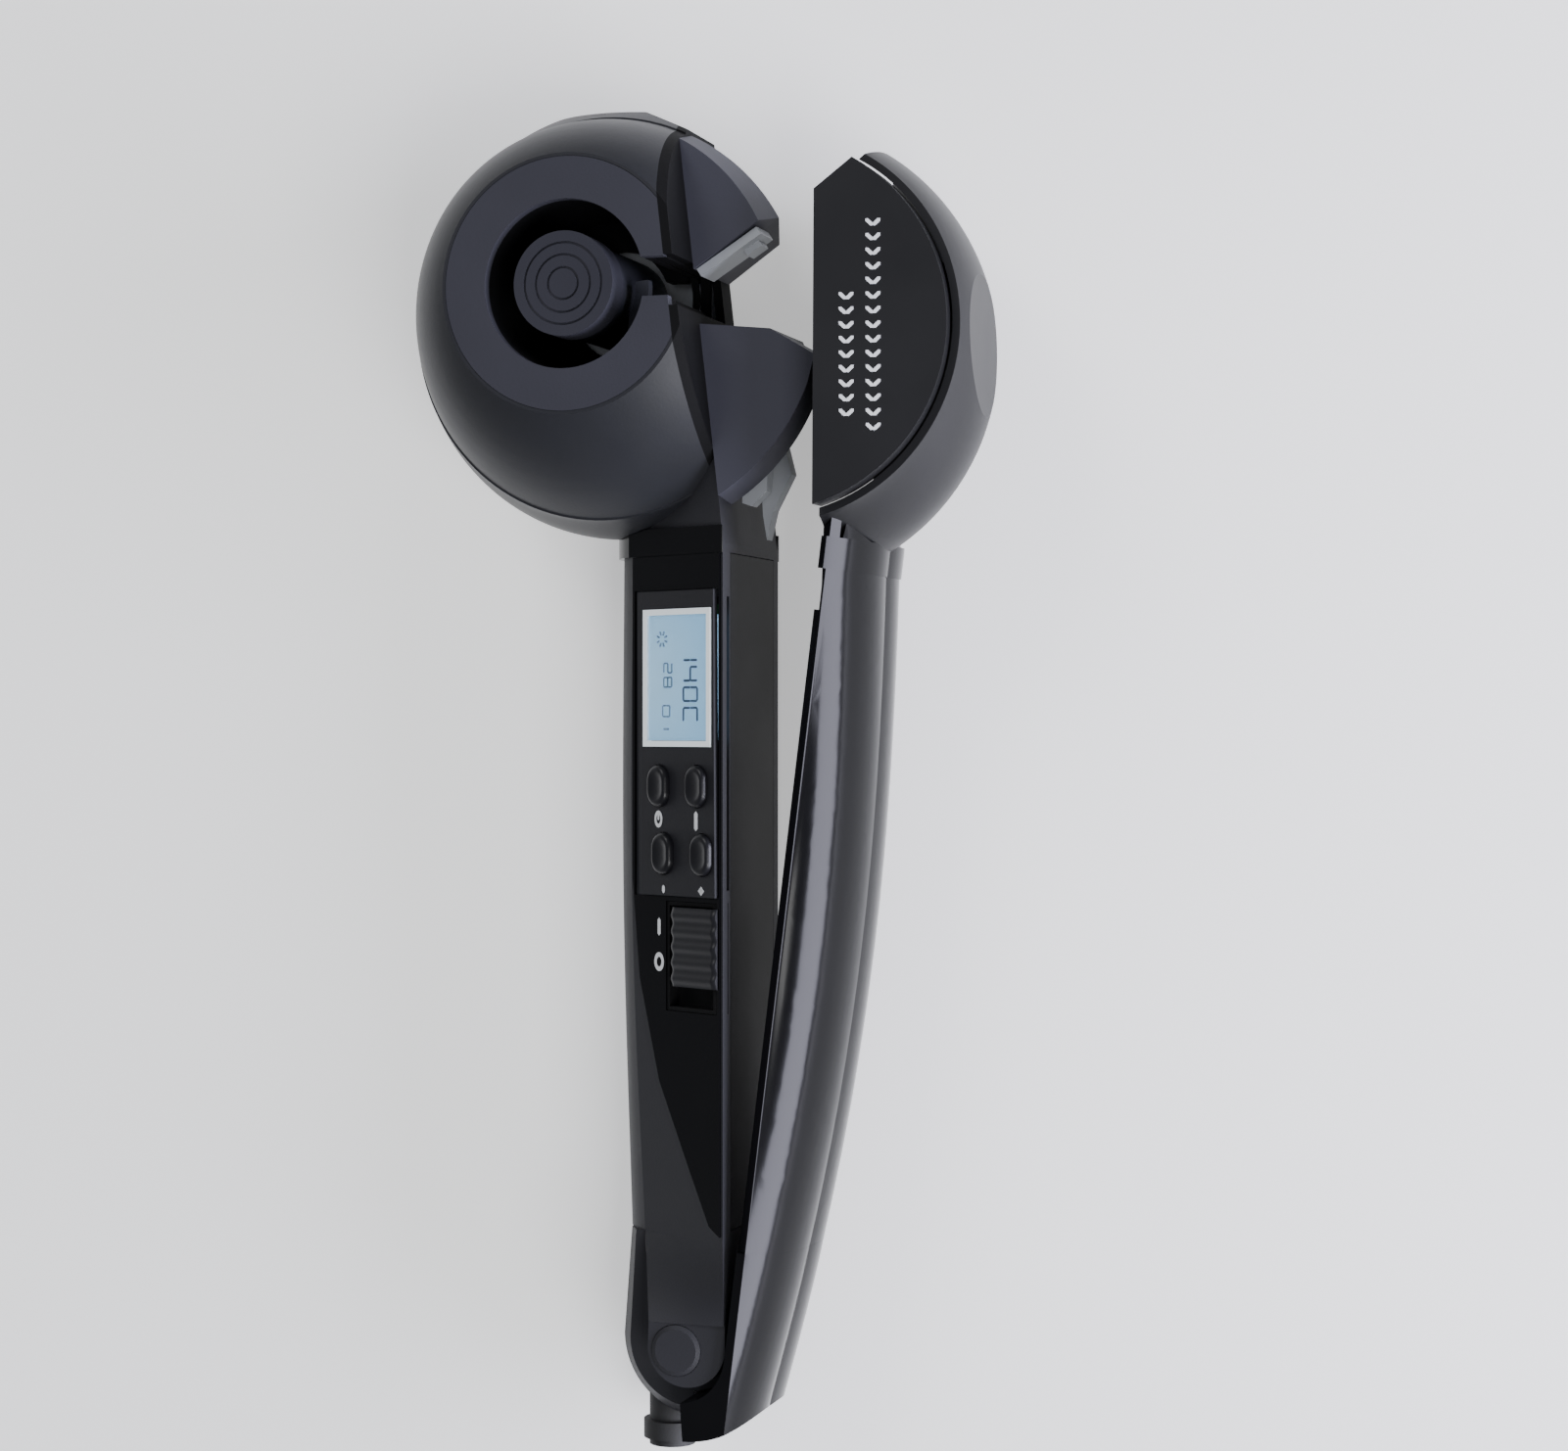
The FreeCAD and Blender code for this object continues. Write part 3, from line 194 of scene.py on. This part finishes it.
def backlit():
    """The display's blue panel, brighter towards its left edge."""
    made = material("display_backlight", (0.35, 0.62, 0.84), 0.4, grain=1000, bump=0.03, wear=0.1)
    tree = made.node_tree
    shader = tree.nodes["Principled BSDF"]
    spot = tree.nodes.new("ShaderNodeTexCoord")
    ball = tree.nodes.new("ShaderNodeTexGradient")
    ball.gradient_type = "SPHERICAL"
    mapping = tree.nodes.new("ShaderNodeMapping")
    mapping.vector_type = "TEXTURE"
    low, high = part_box("display_module")
    mapping.inputs["Location"].default_value = (low[0], centre("display_module").y, low[2])
    mapping.inputs["Scale"].default_value = (0.022, 0.022, 0.022)
    tree.links.new(spot.outputs["Object"], mapping.inputs["Vector"])
    tree.links.new(mapping.outputs["Vector"], ball.inputs["Vector"])
    tint = tree.nodes.new("ShaderNodeMix")
    tint.data_type = "RGBA"
    tint.inputs["A"].default_value = (0.33, 0.62, 0.86, 1)
    tint.inputs["B"].default_value = (0.66, 0.88, 1.0, 1)
    tree.links.new(ball.outputs["Fac"], tint.inputs["Factor"])
    tree.links.new(tint.outputs["Result"], shader.inputs["Emission Color"])
    shader.inputs["Emission Strength"].default_value = 0.42
    return made


def window_glass():
    made = material("display_glass", (0.9, 0.95, 1.0), 0.05, grain=400, bump=0.004, spread=0.02)
    shader = made.node_tree.nodes["Principled BSDF"]
    shader.inputs["Transmission Weight"].default_value = 1
    shader.inputs["IOR"].default_value = 1.15
    return made


FINISH = {
    "charcoal": (CHARCOAL, ["head_front_shell", "head_back_shell"]),
    "ring": (RING, ["front_ring"]),
    "guide": (GUIDE, ["upper_guide", "lower_guide"]),
    "handle": (HANDLE, ["arm_shell", "tail_housing"]),
    "gloss": (GLOSS, ["gloss_inlay", "neck_collar", "lid_arm_shell", "lid_tail", "lid_collar"]),
    "shade": (SHADE, ["arm_inner_face"]),
    "satin": (SATIN, ["lid_front_panel", "lid_head_shell", "lid_inner_face"]),
    "cap": (CAP, ["barrel_cap"]),
    "cap_disc": (HANDLE, ["hinge_cap"]),
    "deep": (DEEP, ["chamber_liner", "throat_channel", "lid_pusher", "lid_eye", "key_switches",
                    "switch_tub", "mouth_plate", "rotor_gear", "rotor_guide"]),
    "panel": (PANEL, ["control_panel"]),
    "pale": (PALE, ["throat_strip", "guide_fin_inner", "guide_fin_outer"]),
    "hook": (CERAMIC, ["rotor_hook"]),
    "ceramic": (CERAMIC, ["heated_barrel"]),
    "steel": (STEEL, ["head_screws", "motor_screws", "arm_screws", "lid_screws", "idler_axles",
                      "motor", "motor_shaft", "motor_pinion", "hinge_pin", "hinge_spring",
                      "thermal_fuse"]),
    "plate": (PLATE, ["chassis_plate", "heater"]),
    "acetal": (ACETAL, ["idler_left", "idler_right", "hinge_washers"]),
    "board": (BOARD, ["control_board"]),
    "rubber": (RUBBER, ["cord_gland"]),
    "bezel": (BEZEL, ["display_bezel"]),
    "display": (backlit(), ["display_module"]),
    "window": (window_glass(), ["display_window"]),
}


def paint_frame():
    """Give every carried-over node its finish."""
    for made, names in FINISH.values():
        for name in names:
            mesh = frame["nodes"][name].data
            mesh.materials.clear()
            mesh.materials.append(made)


# ------------------------------------------------------------------ drawing pieces


def piece(name, mesh, made, body, smooth=True):
    """A new object from a mesh, painted, that rides on a body."""
    obj = bpy.data.objects.new(name, mesh)
    bpy.context.scene.collection.objects.link(obj)
    mesh.materials.append(made)
    for face in mesh.polygons:
        face.use_smooth = smooth
    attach(obj, body)
    return obj


def mesh_of(name, bm, matrix=None):
    mesh = bpy.data.meshes.new(name)
    bm.to_mesh(mesh)
    bm.free()
    if matrix is not None:
        mesh.transform(matrix)
    return mesh


def ring_points(count, reach_x, reach_y):
    return [(reach_x * math.cos(2 * math.pi * step / count),
             reach_y * math.sin(2 * math.pi * step / count)) for step in range(count)]


def stack(name, loops, matrix):
    """A skin through closed loops of points, all with the same number of points."""
    bm = bmesh.new()
    rows = [[bm.verts.new(point) for point in loop] for loop in loops]
    count = len(rows[0])
    for low, high in zip(rows, rows[1:]):
        for step in range(count):
            ahead = (step + 1) % count
            bm.faces.new((low[step], low[ahead], high[ahead], high[step]))
    bm.faces.new(list(reversed(rows[0])))
    bm.faces.new(rows[-1])
    bmesh.ops.recalc_face_normals(bm, faces=bm.faces)
    return mesh_of(name, bm, matrix)


def plate(name, outline, low, high, matrix):
    """A flat plate from a closed outline, between two heights."""
    loops = [[(x, y, z) for x, y in outline] for z in (low, high)]
    return stack(name, loops, matrix)


def bar(x0, y0, x1, y1, width):
    """The outline of a straight stroke with pointed ends, as on a segment display."""
    along = Vector((x1 - x0, y1 - y0)).normalized()
    side = Vector((-along.y, along.x)) * width / 2
    tip = along * width / 2
    start, end = Vector((x0, y0)), Vector((x1, y1))
    return [tuple(start), tuple(start + tip - side), tuple(end - tip - side), tuple(end),
            tuple(end - tip + side), tuple(start + tip + side)]


def joined(name, meshes):
    """Several meshes as one."""
    bm = bmesh.new()
    for mesh in meshes:
        bm.from_mesh(mesh)
    return mesh_of(name, bm)


# ------------------------------------------------------------------ display and keys


SEGMENTS = {"top": (0, 2, 1, 2), "top_left": (0, 1, 0, 2), "top_right": (1, 1, 1, 2),
            "middle": (0, 1, 1, 1), "low_left": (0, 0, 0, 1), "low_right": (1, 0, 1, 1),
            "bottom": (0, 0, 1, 0)}
DIGITS = {"0": ["top", "top_left", "top_right", "low_left", "low_right", "bottom"],
          "1": ["top_right", "low_right"],
          "2": ["top", "top_right", "middle", "low_left", "bottom"],
          "4": ["top_left", "top_right", "middle", "low_right"],
          "C": ["top", "top_left", "low_left", "bottom"],
          "8": list(SEGMENTS)}


MARK_THICK = 0.06 * MM
FIGURE_THICK = 0.08 * MM
FIGURE_PITCH = 1.5
DISPLAY_LEFT = 8.4 * MM
DISPLAY_LEVEL = 0.82 * MM


def figures(text, corner, size, width, level):
    """Segment figures that read downwards along the arm, with their tops towards the ridge."""
    meshes = []
    for index, figure in enumerate(text):
        start = corner[1] - index * size[1] * FIGURE_PITCH
        for segment in DIGITS[figure]:
            x0, y0, x1, y1 = SEGMENTS[segment]
            ends = [(corner[0] + y * size[0] / 2, start - x * size[1]) for x, y in ((x0, y0), (x1, y1))]
            outline = bar(*ends[0], *ends[1], width)
            meshes.append(plate("segment", outline, level, level + FIGURE_THICK, FACE))
    return meshes


def rays(hub, count, inner, outer, width, level, matrix):
    """Short strokes round a point."""
    strokes = []
    for step in range(count):
        angle = 2 * math.pi * (step + 0.5) / count
        ray = Vector((math.cos(angle), math.sin(angle)))
        outline = bar(*(hub + ray * inner), *(hub + ray * outer), width)
        strokes.append(plate("ray", outline, level, level + FIGURE_THICK, matrix))
    return strokes


def display():
    """Figures and icons that lie on the display module, under its window."""
    low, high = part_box("display_module")
    mid = on_face(centre("display_module"))
    left, top = mid.x - DISPLAY_LEFT, mid.y + (high.y - low.y) / 2
    level = DISPLAY_LEVEL
    big = figures("140C", (left + 10.2 * MM, top - 7 * MM), (4.6 * MM, 3 * MM), 0.5 * MM, level)
    piece("display_figures", joined("display_figures", big), SEGMENT, MAIN, smooth=False)
    small = figures("28", (left + 3.6 * MM, top - 10.6 * MM), (2.7 * MM, 2.1 * MM), 0.35 * MM, level)
    sun = Vector((left + 3 * MM, top - 5.2 * MM))
    small += rays(sun, 8, 0.8 * MM, 1.9 * MM, 0.4 * MM, level, FACE)
    small += figures("0", (left + 3.2 * MM, top - 20 * MM), (2.4 * MM, 2.4 * MM), 0.35 * MM, level)
    dash = bar(left + 3.4 * MM, top - 25.2 * MM, left + 5.4 * MM, top - 25.2 * MM, 0.5 * MM)
    small.append(plate("dash", dash, level, level + FIGURE_THICK, FACE))
    piece("display_icons", joined("display_icons", small), FAINT, MAIN, smooth=False)


KEY_REACH_X = 3.2 * MM
KEY_REACH_Y = 4.7 * MM
# From the flange up over the rolled edge and into the dish: share of the reach, height in mm.
KEY_PROFILE = [(1.1, -1.28), (1.1, -0.72), (0.995, -0.7), (0.995, 1.5), (0.98, 2.0), (0.93, 2.4),
               (0.86, 2.66), (0.76, 2.78), (0.64, 2.7), (0.5, 2.52), (0.3, 2.4), (0.05, 2.36)]


def key_cap(node):
    """An oval key with a rolled edge and a shallow dish."""
    mid = on_face(centre(node))
    loops = [[(mid.x + x, mid.y + y, height * MM)
              for x, y in key_loop(KEY_REACH_X * share, KEY_REACH_Y * share)]
             for share, height in KEY_PROFILE]
    cap = piece(node + "_cap", stack(node + "_cap", loops, FACE), KEY_BLACK, node)
    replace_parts(cap, node)


def key_loop(reach_x, reach_y, count=32):
    """Two half circles joined by short straight sides."""
    straight = reach_y - reach_x
    loop = []
    for side in (1, -1):
        for step in range(count + 1):
            angle = math.pi * step / count + (0 if side > 0 else math.pi)
            loop.append((reach_x * math.cos(angle), side * straight + reach_x * math.sin(angle)))
    return loop


KNOB_LEFT, KNOB_RIGHT = -15.7 * MM, -1 * MM
KNOB_FOOT_RIGHT = -3.1 * MM
KNOB_FOOT_LOW, KNOB_FOOT_TOP = -2.15 * MM, 0.7 * MM
THUMB_BASE = 0.6 * MM
THUMB_LEVEL = 1.35 * MM
RIB_COUNT = 5
RIB_HEIGHT = 0.5 * MM
RIB_STEPS = 60
ROLL_DROP = 0.5 * MM
ROLL_WIDTH = 1.1
ROLL_INSETS = [0.0, 0.25, 0.6, ROLL_WIDTH]
FIN_SHARE = 0.95


def thumb_row(y, height):
    """One line across the thumb piece, whose two ends roll over."""
    rolled = [(inset * MM, height - ROLL_DROP * (1 - inset / ROLL_WIDTH) ** 2) for inset in ROLL_INSETS]
    left = [(KNOB_LEFT + inset, y, level) for inset, level in rolled]
    right = [(KNOB_RIGHT - inset, y, level) for inset, level in reversed(rolled)]
    return [(KNOB_LEFT, y, THUMB_BASE), *left, *right, (KNOB_RIGHT, y, THUMB_BASE)]


def power_knob():
    """The slide knob: a wide thumb piece with rounded cross ribs, on the original's foot."""
    low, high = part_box("power_knob")
    y0, y1 = low.y - HINGE.y, high.y - HINGE.y
    outline = [(KNOB_LEFT, y0), (KNOB_FOOT_RIGHT, y0), (KNOB_FOOT_RIGHT, y1), (KNOB_LEFT, y1)]
    foot = plate("foot", outline, KNOB_FOOT_LOW, KNOB_FOOT_TOP, FACE)
    rows = []
    for step in range(RIB_STEPS + 1):
        share = step / RIB_STEPS
        wave = 0.5 - 0.5 * math.cos(2 * math.pi * RIB_COUNT * share)
        rows.append(thumb_row(y0 + (y1 - y0) * share, THUMB_LEVEL + RIB_HEIGHT * wave))
    thumb = stack("thumb", rows, FACE)
    whole = joined("power_knob_thumb", [foot, thumb])
    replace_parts(piece("power_knob_thumb", whole, KEY_BLACK, "power_knob", smooth=False), "power_knob")


def outer_fin():
    """The outer guide fin, a little narrower, so that it clears the closed lid."""
    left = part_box("guide_fin_outer")[0].x
    mesh = frame["nodes"]["guide_fin_outer"].data.copy()
    for vertex in mesh.vertices:
        vertex.co.x = left + (vertex.co.x - left) * FIN_SHARE
    mesh.materials.clear()
    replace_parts(piece("guide_fin_edge", mesh, PALE, MAIN, smooth=False), "guide_fin_outer")


# ------------------------------------------------------------------ printed marks


PANEL_TOP = 1.32
INLAY_TOP = 0.52
# Straight strokes, all in mm on the control face: middle x and y, reach x and y, width, level.
STROKES = {"minus": (-18.2, 100.9, 0, 0.95, 0.9, PANEL_TOP),
           "plus_down": (-5.6, 100.9, 0, 1.0, 0.9, PANEL_TOP),
           "plus_across": (-5.6, 100.9, 1.0, 0, 0.9, PANEL_TOP),
           "mode_bar": (-7.3, 116.2, 0, 2.2, 1.1, PANEL_TOP),
           "clock_hand": (-19.9, 116.9, 0, 0.8, 0.5, PANEL_TOP),
           "slide_on": (-20.6, 92.4, 0, 2.0, 0.95, INLAY_TOP)}
# Oval rings, in mm: middle x and y, reach x and y, the hole's share, number of points, level.
RINGS = {"clock": (-19.9, 116.4, 1.3, 1.9, 0.55, 24, PANEL_TOP),
         "slide_off": (-20.6, 84.6, 1.6, 2.1, 0.52, 28, INLAY_TOP)}


def print_marks():
    """Small white marks on the control face: what each key does, and the two switch states."""
    marks = []
    for x, y, reach_x, reach_y, width, level in STROKES.values():
        outline = bar((x - reach_x) * MM, (y - reach_y) * MM, (x + reach_x) * MM, (y + reach_y) * MM,
                      width * MM)
        marks.append(plate("mark", outline, level * MM, level * MM + MARK_THICK, FACE))
    for x, y, reach_x, reach_y, hole, count, level in RINGS.values():
        outer = [(x * MM + dx, y * MM + dy) for dx, dy in ring_points(count, reach_x * MM, reach_y * MM)]
        marks.append(ring_mark(outer, (x * MM, y * MM), hole, level * MM, MARK_THICK))
    piece("control_marks", joined("control_marks", marks), PRINT, MAIN, smooth=False)


def ring_mark(outer, middle, share, level, thick):
    """A flat ring between an outline and the same outline shrunk about its middle."""
    inner = [(middle[0] + (x - middle[0]) * share, middle[1] + (y - middle[1]) * share) for x, y in outer]
    bm = bmesh.new()
    rows = [[bm.verts.new((x, y, z)) for x, y in line]
            for line, z in ((outer, level), (outer, level + thick), (inner, level + thick), (inner, level))]
    count = len(outer)
    for one, two in zip(rows, rows[1:] + rows[:1]):
        for step in range(count):
            ahead = (step + 1) % count
            bm.faces.new((one[step], one[ahead], two[ahead], two[step]))
    bmesh.ops.recalc_face_normals(bm, faces=bm.faces)
    return mesh_of("ring", bm, FACE)


# Arrow columns: side of the middle, first row, number of rows.
ARROW_COLUMNS = [(-1, 5, 9), (1, 0, 15)]
ARROW_COLUMN_X = 2.9 * MM
ARROW_PITCH = 3.1 * MM
ARROW_REACH_X, ARROW_REACH_Y = 1.6 * MM, 1.5 * MM
ARROW_WIDTH = 0.8 * MM
ARROW_LIFT = 0.05 * MM


def lid_marks():
    """Arrows printed down the lid panel, in two columns: which side faces the head."""
    matrix = panel_matrix()
    marks = []
    for column, first, count in ARROW_COLUMNS:
        x = ARROW_COLUMN_X * column
        for step in range(first, first + count):
            y = -step * ARROW_PITCH
            for side in (-1, 1):
                outline = bar(x, y, x + side * ARROW_REACH_X, y + ARROW_REACH_Y, ARROW_WIDTH)
                marks.append(plate("arrow", outline, ARROW_LIFT, ARROW_LIFT + MARK_THICK, matrix))
    piece("lid_marks", joined("lid_marks", marks), PRINT, LID, smooth=False)


PANEL_SPOT_X, PANEL_SPOT_Y = 0.36, 0.80


def panel_matrix():
    """The lid panel's own face: its largest upward polygon gives the height and the tilt."""
    mesh = frame["nodes"]["lid_front_panel"].data
    best = max(mesh.polygons, key=lambda face: face.area if face.normal.z > 0.9 else 0)
    world = frame["nodes"]["lid_front_panel"].matrix_world
    out = (world.to_3x3() @ best.normal).normalized()
    along = (Vector((0, 1, 0)) - out * out.y).normalized()
    matrix = Matrix((along.cross(out), along, out)).transposed().to_4x4()
    low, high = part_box("lid_front_panel")
    spot = Vector((low.x + (high.x - low.x) * PANEL_SPOT_X, low.y + (high.y - low.y) * PANEL_SPOT_Y, 0))
    point = world @ best.center
    spot.z = point.z - ((spot.x - point.x) * out.x + (spot.y - point.y) * out.y) / out.z
    matrix.translation = spot
    return matrix


# ------------------------------------------------------------------ stage, camera and finish


def stage():
    bpy.ops.mesh.primitive_plane_add(size=6, location=(0, 0, 0))
    floor = bpy.context.object
    floor.name = "floor"
    paper = material("paper_floor", (0.90, 0.90, 0.90), 0.9, grain=40, bump=0.01, specular=0.1)
    floor.data.materials.append(glow(paper, (1, 1, 1), 0.55))
    world = bpy.data.worlds.new("room")
    bpy.context.scene.world = world
    world.use_nodes = True
    world.node_tree.nodes["Background"].inputs["Color"].default_value = (0.9, 0.93, 1.0, 1)
    world.node_tree.nodes["Background"].inputs["Strength"].default_value = 0.35


def softbox(name, spot, aim, size, power, colour=(1, 1, 1)):
    """A rectangular light: size is (across, along the arms)."""
    data = bpy.data.lights.new(name, "AREA")
    data.shape, data.size, data.size_y = "RECTANGLE", *size
    data.energy, data.color = power, colour
    obj = bpy.data.objects.new(name, data)
    bpy.context.scene.collection.objects.link(obj)
    obj.location = spot
    back = (Vector(spot) - Vector(aim)).normalized()
    side = Vector((0, 1, 0)).cross(back).normalized()
    obj.rotation_mode = "QUATERNION"
    obj.rotation_quaternion = Matrix((side, back.cross(side), back)).transposed().to_quaternion()


CAMERA_YAW = math.radians(17)
CAMERA_REACH = 0.680
CAMERA_AIM = HINGE + Vector((18.3, 137.2, -3)) * MM
CAMERA_LENS, CAMERA_SENSOR = 69.6, 36


def camera():
    data = bpy.data.cameras.new("camera")
    data.lens, data.sensor_width = CAMERA_LENS, CAMERA_SENSOR
    obj = bpy.data.objects.new("camera", data)
    bpy.context.scene.collection.objects.link(obj)
    back = Vector((math.sin(CAMERA_YAW), 0, math.cos(CAMERA_YAW)))
    obj.location = CAMERA_AIM + back * CAMERA_REACH
    obj.rotation_euler = (0, CAMERA_YAW, 0)
    bpy.context.scene.camera = obj


def lights():
    middle = Vector((0, 0.0, 0.02))
    softbox("overhead", (0.9, -0.6, 1.2), middle, (0.7, 0.7), 17)
    softbox("head_fill", (-0.5, 0.9, 0.9), (-0.02, 0.1, 0.03), (0.5, 0.5), 5)
    softbox("strip_right", (0.80, -0.10, 0.235), middle, (0.34, 0.9), 19, (0.84, 0.84, 1.0))


paint_frame()
display()
power_knob()
outer_fin()
print_marks()
lid_marks()
for key in ("key_timer", "key_mode", "key_minus", "key_plus"):
    key_cap(key)
stage()
lights()
camera()
